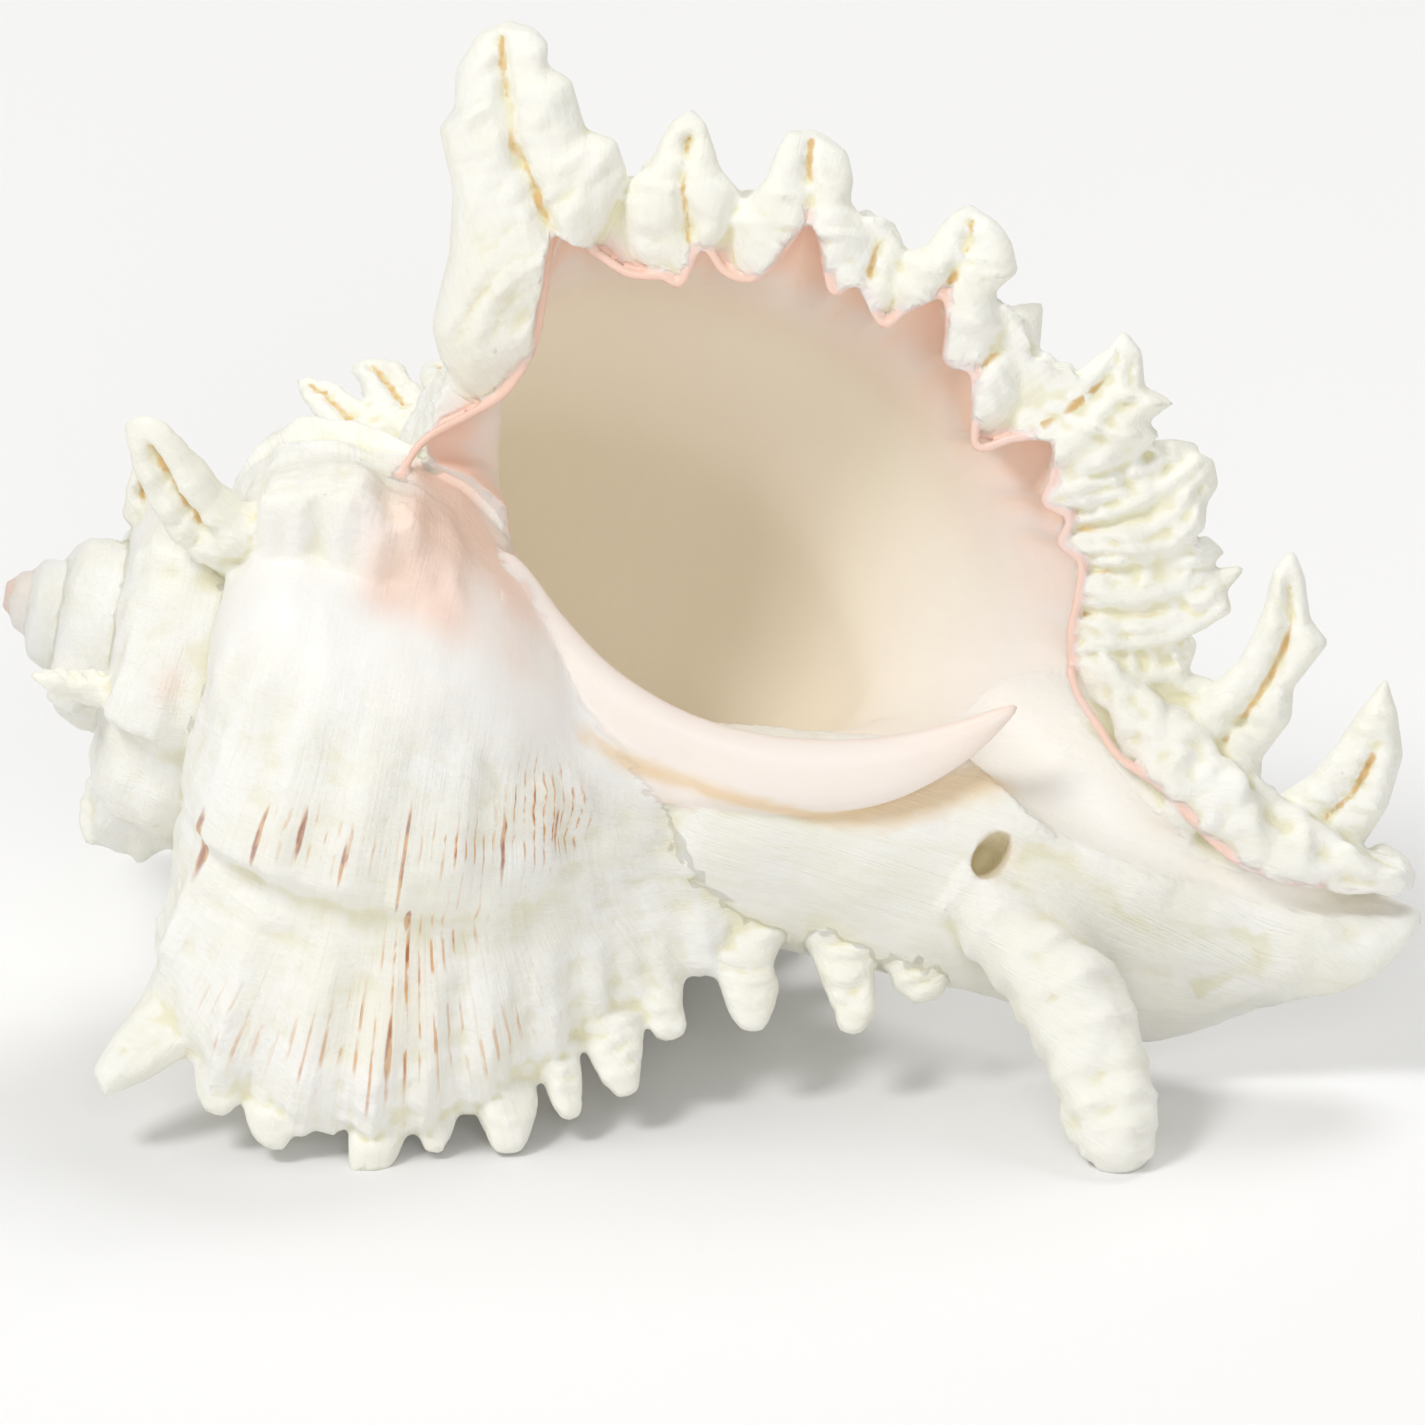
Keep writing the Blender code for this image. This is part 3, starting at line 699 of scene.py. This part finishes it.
def largest_island(obj):
    """Drops crumbs that the skin left loose, and bubbles shut inside it."""
    mesh = bmesh.new()
    mesh.from_mesh(obj.data)
    left, largest = set(mesh.verts), []
    while left:
        island = [left.pop()]
        for vertex in island:
            for edge in vertex.link_edges:
                neighbour = edge.other_vert(vertex)
                if neighbour in left:
                    left.remove(neighbour)
                    island.append(neighbour)
        if len(island) > len(largest):
            largest = island
    kept = set(largest)
    bmesh.ops.delete(mesh, geom=[vertex for vertex in mesh.verts if vertex not in kept], context="VERTS")
    mesh.to_mesh(obj.data)
    mesh.free()


shell = joined("shell", parts)
fuse(shell, SKIN_VOXEL)
carve(shell, hollow)
carve(shell, channel)
carve(shell, pit)
shell = joined("murex_shell_skin", [shell, rim, inner_lip])
fuse(shell, SKIN_VOXEL)
smooth = shell.modifiers.new("soften", "SMOOTH")
smooth.factor = 0.5
smooth.iterations = 1
settle(shell)
faces = sum(len(face.vertices) - 2 for face in shell.data.polygons)
if faces > FACES_KEPT:
    thin = shell.modifiers.new("fewer faces", "DECIMATE")
    thin.ratio = FACES_KEPT / faces
    settle(shell)
largest_island(shell)

# Colours are read off the parts that the skin was made from, nearest point by nearest point.
points, shades = np.concatenate(sources), np.concatenate(source_tints)
tree = KDTree(len(points))
for index, point in enumerate(points):
    tree.insert(point, index)
tree.balance()
nearest = [tree.find(vertex.co)[1] for vertex in shell.data.vertices]
shades = shades[nearest]

count = len(shell.data.vertices)
where, normal = np.zeros(count * 3), np.zeros(count * 3)
shell.data.vertices.foreach_get("co", where)
shell.data.vertices.foreach_get("normal", normal)
where, normal = where.reshape(-1, 3) / MM, normal.reshape(-1, 3)
ends = np.zeros(len(shell.data.edges) * 2, int)
shell.data.edges.foreach_get("vertices", ends)
one, other = np.concatenate([ends[0::2], ends[1::2]]), np.concatenate([ends[1::2], ends[0::2]])
links = np.bincount(one, minlength=count)[:, None]


def evened(values, rounds):
    """Values averaged with their neighbours' along the skin, again and again."""
    for _ in range(rounds):
        sums = [np.bincount(one, weights=column[other], minlength=count) for column in values.T]
        values = (values + np.stack(sums, axis=-1) / links) / 2
    return values


def keep(key, values):
    layer = shell.data.attributes.new(key, "FLOAT", "POINT")
    layer.data.foreach_set("value", values.astype(np.float32))


# Where one growth stage flows over another, its edge is worn smooth: (along, lip, front) down each such edge.
SOFT_EDGES = (
    ((136.5, 9.5, 10.5), (140.9, 7.2, 11), (149.6, 3.8, 7.5), (156, 3.6, 7), (162, 6, 6.7)),
    ((55, 27, 9), (62, 17.5, 10), (71, 9.5, 11.5), (77, 7.5, 12.5)),
    ((80, 8, 14.8), (83, 7.8, 15), (86, 7.4, 15.2)),
)
soft = np.zeros(count)
for edge in SOFT_EDGES:
    line = shell_axes(smooth_curve(edge, np.linspace(0, 1, LINE_POINTS), False))
    for spot in line:
        soft = np.maximum(soft, smoothstep(*SOFT_REACH, np.linalg.norm(where - spot, axis=1)))
where = where + (evened(where, SOFT_ROUNDS) - where) * soft[:, None]
shell.data.vertices.foreach_set("co", (where * MM).ravel())

# Every point's turn of growth, and its angle in the section, for the lines that run along and across.
FAN_CENTRE = (80, 15)
angle = np.degrees(np.arctan2(-where[:, 1], where[:, 2]))
turn = angle + 360 * np.round((shades[:, TINTS.index("turn")] - angle) / 360)
size = WHORL_GROWTH ** (np.minimum(turn, 0) / 360)
out = np.hypot(where[:, 1], where[:, 2])
fan = np.degrees(np.arctan2(out / size - FAN_CENTRE[1], where[:, 0] / size - FAN_CENTRE[0]))


def blots(spots):
    """Soft patches round (turn, fan), each (turn, fan, half turn, half fan, strength)."""
    return sum(
        strength * np.exp(-(((turn - at) / long) ** 2) - (((fan - across) / wide) ** 2))
        for at, across, long, wide, strength in spots
    )


BLUSH_PATCHES = (
    (-356, 80, 9, 15, 0.9), (-343, 70, 12, 18, 0.8), (-329, 85, 13, 15, 0.8), (-331, 54, 12, 12, 0.55),
    (-313, 76, 9, 13, 0.6), (-313, 96, 8, 9, 0.55), (-312, 50, 8, 8, 0.3), (-335, 38, 14, 10, 0.3),
    (-636, 106, 9, 8, 0.5), (-2160, 90, 500, 200, 0.7),
)
STAINED = (
    (-276, 34, 15, 15, 1.0), (-266, 62, 8, 14, 0.6), (-240, 72, 8, 9, 0.8), (-229, 80, 7, 22, 0.6),
    (-229, 48, 6, 12, 0.45), (-262, 98, 8, 20, 0.5), (-248, 58, 8, 10, 0.5), (-227, 108, 6, 10, 0.35),
    (-60, 80, 14, 30, 0.6), (-14, 60, 8, 40, 0.5), (-130, 70, 10, 40, 0.7), (-165, 50, 14, 30, 0.4),
)
# The shaded line under the inner lip's free edge.
LIP_UNDERSIDE = (
    (75.2, 10.5, 16.5), (84.9, 8.6, 15.2), (98.7, 8.6, 15.1), (108, 9.4, 12.6), (116, 12.6, 11),
    (123.3, 18, 9), (128, 20, 7),
)
shadow = np.zeros(count)
for spot in shell_axes(smooth_curve(LIP_UNDERSIDE, np.linspace(0, 1, 120), False)):
    reach = 1.7 + 1.6 * smoothstep(104, 122, spot[0])
    shadow = np.maximum(shadow, smoothstep(reach, 0.3 * reach, np.linalg.norm(where - spot, axis=1)))
shades = evened(shades, 1)
keep("shadow", shadow)
keep("blush", blots(BLUSH_PATCHES))
keep("stained", blots(STAINED))
for column, key in enumerate(TINTS[1:], 1):
    keep(key, shades[:, column])
keep("turn", turn)
keep("fan", fan)
# dip and hollow: how deep each point lies in a crease and in a broad hollow. Both give painted shade below;
# dip also deepens the pink in the lip's folds.
keep("dip", np.einsum("ij,ij->i", evened(where, DIP_ROUNDS) - where, normal))
keep("hollow", np.einsum("ij,ij->i", evened(where, HOLLOW_SHADE_ROUNDS) - where, normal))

rest = Matrix.Rotation(math.radians(-REST_TILT), 4, "X")
slope = Matrix.Rotation(math.radians(AXIS_SLOPE), 4, "Y")
lean = Matrix.Rotation(math.radians(LIP_LEAN), 4, "X")
shell.data.transform(Matrix.Translation(APEX) @ rest @ slope @ lean)
mesh = bmesh.new()
mesh.from_mesh(shell.data)
cut = bmesh.ops.bisect_plane(
    mesh,
    geom=mesh.verts[:] + mesh.edges[:] + mesh.faces[:],
    dist=1e-7,
    plane_co=(0, 0, 0),
    plane_no=(0, 0, -1),
    clear_outer=True,
)
rims = [part for part in cut["geom_cut"] if isinstance(part, bmesh.types.BMEdge)]
bmesh.ops.holes_fill(mesh, edges=rims, sides=0)
for face in mesh.faces:
    face.smooth = True
mesh.to_mesh(shell.data)
mesh.free()

# ---------------------------------------------------------------------------------------------------
# The shell's surface. Outside it is bare, chalky calcite, off-white and creamier on the fronds, with brown
# stains that the animal laid down in fine lines. At the mouth it is glazed: pink and lilac at the lip, tan
# inside, as the enamel thins and the darker wall shows through.
# Shade and light are painted on as well: shade in creases, hollows, slits, the channel, the pit and under the
# inner lip, and a faint glow inside the mouth.


class Value:
    """One socket, with sums written as sums."""

    def __init__(self, nodes, socket):
        self.nodes, self.socket = nodes, socket

    def maths(self, operation, *others, clamp=False):
        settings = {"operation": operation, "use_clamp": clamp}
        return self.nodes.node("Math", 0, settings, dict(enumerate((self, *others))))

    def __add__(self, other):
        return self.maths("ADD", other)

    def __sub__(self, other):
        return self.maths("SUBTRACT", other)

    def __rsub__(self, other):
        return (self * -1).maths("ADD", other)

    def __mul__(self, other):
        return self.maths("MULTIPLY", other)

    __radd__, __rmul__ = __add__, __mul__

    def clamp(self):
        return self.maths("ADD", 0, clamp=True)


class Surface:
    """A material's nodes."""

    def __init__(self, name):
        self.material = bpy.data.materials.new(name)
        self.material.use_nodes = True
        self.tree = self.material.node_tree
        self.shader = self.tree.nodes["Principled BSDF"]

    def feed(self, slot, value):
        if isinstance(value, Value):
            self.tree.links.new(value.socket, slot)
        else:
            slot.default_value = value

    def node(self, kind, output, settings, values):
        """A node of the given kind: its settings first, then what goes into its sockets."""
        made = self.tree.nodes.new("ShaderNode" + kind)
        for key, value in settings.items():
            setattr(made, key, value)
        for key, value in values.items():
            self.feed(made.inputs[key], value)
        return Value(self, made.outputs[output])

    def tint(self, key):
        return self.node("Attribute", "Fac", {"attribute_name": key}, {})

    def noise(self, where, scale, detail, roughness):
        values = {"Vector": where, "Scale": scale, "Detail": detail, "Roughness": roughness}
        return self.node("TexNoise", "Fac", {}, values)

    def ramp(self, value, low, high):
        values = {"Value": value, "From Min": low, "From Max": high}
        return self.node("MapRange", "Result", {"interpolation_type": "SMOOTHSTEP"}, values)

    def spread(self, x, y, z=0.0):
        return self.node("CombineXYZ", 0, {}, {"X": x, "Y": y, "Z": z})

    def mix(self, share, first, second):
        return self.node("Mix", 2, {"data_type": "RGBA"}, {"Factor": share, 6: first, 7: second})


def rgb(red, green, blue):
    return (red, green, blue, 1.0)


surface = Surface("shell")
place = surface.node("TexCoord", "Object", {}, {})
turn, fan = surface.tint("turn"), surface.tint("fan")
pink, inside, recess_shade, glaze = (surface.tint(key) for key in ("pink", "inside", "recess_shade", "glaze"))
cream, slit, blush, stained = (surface.tint(key) for key in ("cream", "slit", "blush", "stained"))
dip, hollow_shade, shadow = (surface.tint(key) for key in ("dip", "hollow", "shadow"))
bare = (1 - glaze).clamp()

CHALK, BONE, MOSS_TONE_AND_SHADE = rgb(0.925, 0.92, 0.885), rgb(0.90, 0.89, 0.81), rgb(0.78, 0.74, 0.50)
ENAMEL, TAN, LILAC = rgb(0.925, 0.91, 0.89), rgb(0.84, 0.775, 0.65), rgb(0.86, 0.76, 0.76)
BLUSH, PEACH, SLIT_SHADE = rgb(0.93, 0.62, 0.50), rgb(0.94, 0.66, 0.53), rgb(0.68, 0.42, 0.13)
CREAM, APRICOT, SHADE_AMBER = rgb(0.88, 0.86, 0.70), rgb(0.97, 0.74, 0.60), rgb(0.74, 0.52, 0.29)
HONEY, UNLIT, PAINTED_INNER_GLOW = rgb(0.85, 0.63, 0.37), rgb(0, 0, 0), rgb(0.085, 0.074, 0.056)
# How many of each feature there are to a metre.
CHALK_MARKS, CLOUDS, GRAINS, PORES = 110, 32, 1500, 480
CHALK_ROUGHNESS, GLAZE_SHEEN = 0.6, 0.28
RELIEF_STRENGTH, RELIEF_DEPTH = 0.6, 0.0011

# Growth lines cross the whorls; spiral threads run along them.
weave = surface.spread(turn * 0.9, fan * 0.12)
growth_lines = surface.noise(weave, 1.2, 4, 0.6)
strands = surface.spread(turn * 0.03, fan * 0.9)
threads = surface.noise(strands, 1.0, 3, 0.55)
chalk = surface.noise(place, CHALK_MARKS, 5, 0.6)
cloud = surface.noise(place, CLOUDS, 3, 0.5)
grains = surface.noise(place, GRAINS, 3, 0.6)
pores = surface.noise(place, PORES, 2, 0.5)

colour = surface.mix(surface.ramp(chalk, 0.35, 0.65), BONE, CHALK)
colour = surface.mix(surface.ramp(cloud, 0.5, 0.72) * 0.13, colour, MOSS_TONE_AND_SHADE)
# Painted shade: greenish cream in creases and in broad hollows of the bare wall.
colour = surface.mix(surface.ramp(dip, -0.01, 0.22) * (0.36 + cream * 0.5) * bare, colour, MOSS_TONE_AND_SHADE)
colour = surface.mix(surface.ramp(hollow_shade, 0.1, 1.5) * 0.55 * bare, colour, MOSS_TONE_AND_SHADE)
colour = surface.mix(cream * 0.2, colour, CREAM)
colour = surface.mix(surface.ramp(threads, 0.5, 0.75) * bare * 0.18, colour, MOSS_TONE_AND_SHADE)

# Brown stains: fine lines along the spiral threads, and darker strokes on the crest of the last ridge.
STROKES = (
    (-250, 127, 9, 1.6), (-259, 112, 6, 0.75), (-262, 103, 5, 0.65), (-259, 92, 5, 0.6), (-263, 77, 11, 0.65),
    (-266, 48.5, 9, 0.9), (-271, 31.6, 7, 0.7), (-249, 73.5, 2.5, 0.8), (-230, 76, 4, 0.7),
)
UMBER, RUST = rgb(0.35, 0.095, 0.035), rgb(0.70, 0.36, 0.13)
strand = (fan * 2.05 + threads * 3).maths("COSINE")
broken = surface.noise(surface.spread(turn * 0.22, fan * 0.5, 3.0), 1.0, 2, 0.5)
lines = surface.ramp(strand, 0.6, 0.97) * surface.ramp(broken, 0.42, 0.58) * surface.ramp(stained, 0.15, 0.7)
strokes = None
for at, across, long, wide in STROKES:
    apart = ((turn - at) * (1 / long)).maths("POWER", 2) + ((fan - across) * (1 / wide)).maths("POWER", 2)
    one_stroke = 1 - surface.ramp(apart + (chalk - 0.5) * 2.4, 0.2, 1.2)
    strokes = one_stroke if strokes is None else strokes.maths("MAXIMUM", one_stroke)
colour = surface.mix((lines * 0.85 + surface.ramp(stained, 0.3, 1.2) * 0.1).clamp(), colour, RUST)
colour = surface.mix(lines * surface.ramp(broken, 0.62, 0.72) * 0.8, colour, UMBER)
colour = surface.mix(strokes * 0.72, colour, surface.mix(surface.ramp(broken, 0.4, 0.6), RUST, UMBER))
colour = surface.mix(glaze * 0.75, colour, ENAMEL)
colour = surface.mix((surface.ramp(blush + (cloud - 0.5) * 0.4, 0.05, 0.9) * 0.8).clamp(), colour, PEACH)
colour = surface.mix(inside, colour, TAN)
folded = surface.ramp(dip, -0.02, 0.12) * 0.5 + surface.ramp(cloud, 0.4, 0.62) * 0.5
rosy = surface.mix((folded + surface.ramp(pink, 0.7, 1.0) * 0.7).clamp(), LILAC, BLUSH)
colour = surface.mix(pink * 0.9, colour, rosy)
colour = surface.mix(surface.tint("peach") * 0.6, colour, APRICOT)
# Painted shade, amber: under the inner lip's overhang, on the canal channel's floor and inside the old
# canal's pit.
colour = surface.mix(recess_shade * 0.8, colour, SHADE_AMBER)
colour = surface.mix(shadow * 0.75, colour, HONEY)
# Painted shade, ochre, down the fronds' slits.
colour = surface.mix(surface.ramp(slit, 0.7, 0.88) * 0.85, colour, SLIT_SHADE)
# A faint warm glow inside the mouth is painted light, where the lamps reach little.
surface.shader.inputs["Emission Strength"].default_value = 1.0
inner_glow_light = surface.mix(inside * (1 - pink), UNLIT, PAINTED_INNER_GLOW)
surface.feed(surface.shader.inputs["Emission Color"], inner_glow_light)
surface.feed(surface.shader.inputs["Base Color"], colour)
surface.feed(surface.shader.inputs["Roughness"], CHALK_ROUGHNESS - glaze * GLAZE_SHEEN + chalk * 0.1)
height = grains * 0.1 + pores * 0.3 + chalk * 0.5 + growth_lines * 0.35 + threads * 0.25
height = height * (bare * 0.85 + 0.15)
depths = {"Height": height, "Strength": RELIEF_STRENGTH, "Distance": RELIEF_DEPTH}
relief = surface.node("Bump", 0, {}, depths)
surface.feed(surface.shader.inputs["Normal"], relief)
shell.data.materials.clear()
shell.data.materials.append(surface.material)

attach(shell, "root")
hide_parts("murex_shell")

# ---------------------------------------------------------------------------------------------------
# The studio. A plain, matt, pale floor, soft light from the left, the front and above behind, and a long lens
# looking down a little, as for a catalogue.
CAMERA_LIFT = 23.5
CAMERA_DISTANCE = 6
VIEW_WIDTH = 0.1778
TARGET_HEIGHT = 0.0398
SENSOR_WIDTH = 36
PAPER, SKY, SKY_STRENGTH = 0.9, (1, 0.99, 0.97), 0.46

floor_mesh = bmesh.new()
bmesh.ops.create_grid(floor_mesh, x_segments=1, y_segments=1, size=3)
floor = as_object("floor", floor_mesh)
paper = Surface("paper")
paper.shader.inputs["Base Color"].default_value = rgb(PAPER, PAPER, PAPER)
paper.shader.inputs["Roughness"].default_value = 0.8
floor.data.materials.append(paper.material)

world = bpy.data.worlds.new("studio")
world.use_nodes = True
world.node_tree.nodes["Background"].inputs["Color"].default_value = rgb(*SKY)
world.node_tree.nodes["Background"].inputs["Strength"].default_value = SKY_STRENGTH
bpy.context.scene.world = world


def soft_light(name, spot, power, size):
    lamp = bpy.data.lights.new(name, "AREA")
    lamp.energy, lamp.size = power, size
    obj = bpy.data.objects.new(name, lamp)
    obj.location = spot
    obj.rotation_mode = "QUATERNION"
    obj.rotation_quaternion = (Vector((0, 0, 0.06)) - obj.location).to_track_quat("-Z", "Y")
    bpy.context.scene.collection.objects.link(obj)


soft_light("key", Vector((-1.1, -0.9, 1.8)), 20, 0.6)
soft_light("front", Vector((0.3, -2.2, 1.2)), 10, 0.9)
soft_light("top", Vector((0.5, 1.0, 2.2)), 17, 1.0)
bpy.context.scene.view_settings.view_transform = "Standard"

lift = math.radians(CAMERA_LIFT)
back = Vector((0, -math.cos(lift), math.sin(lift)))
camera_data = bpy.data.cameras.new("camera")
camera = bpy.data.objects.new("camera", camera_data)
bpy.context.scene.collection.objects.link(camera)
bpy.context.scene.camera = camera
camera_data.sensor_width = SENSOR_WIDTH
camera_data.lens = SENSOR_WIDTH * CAMERA_DISTANCE / VIEW_WIDTH
target = Vector((0, 0, TARGET_HEIGHT))
camera.location = target + back * CAMERA_DISTANCE
camera.rotation_mode = "QUATERNION"
camera.rotation_quaternion = (-back).to_track_quat("-Z", "Y")
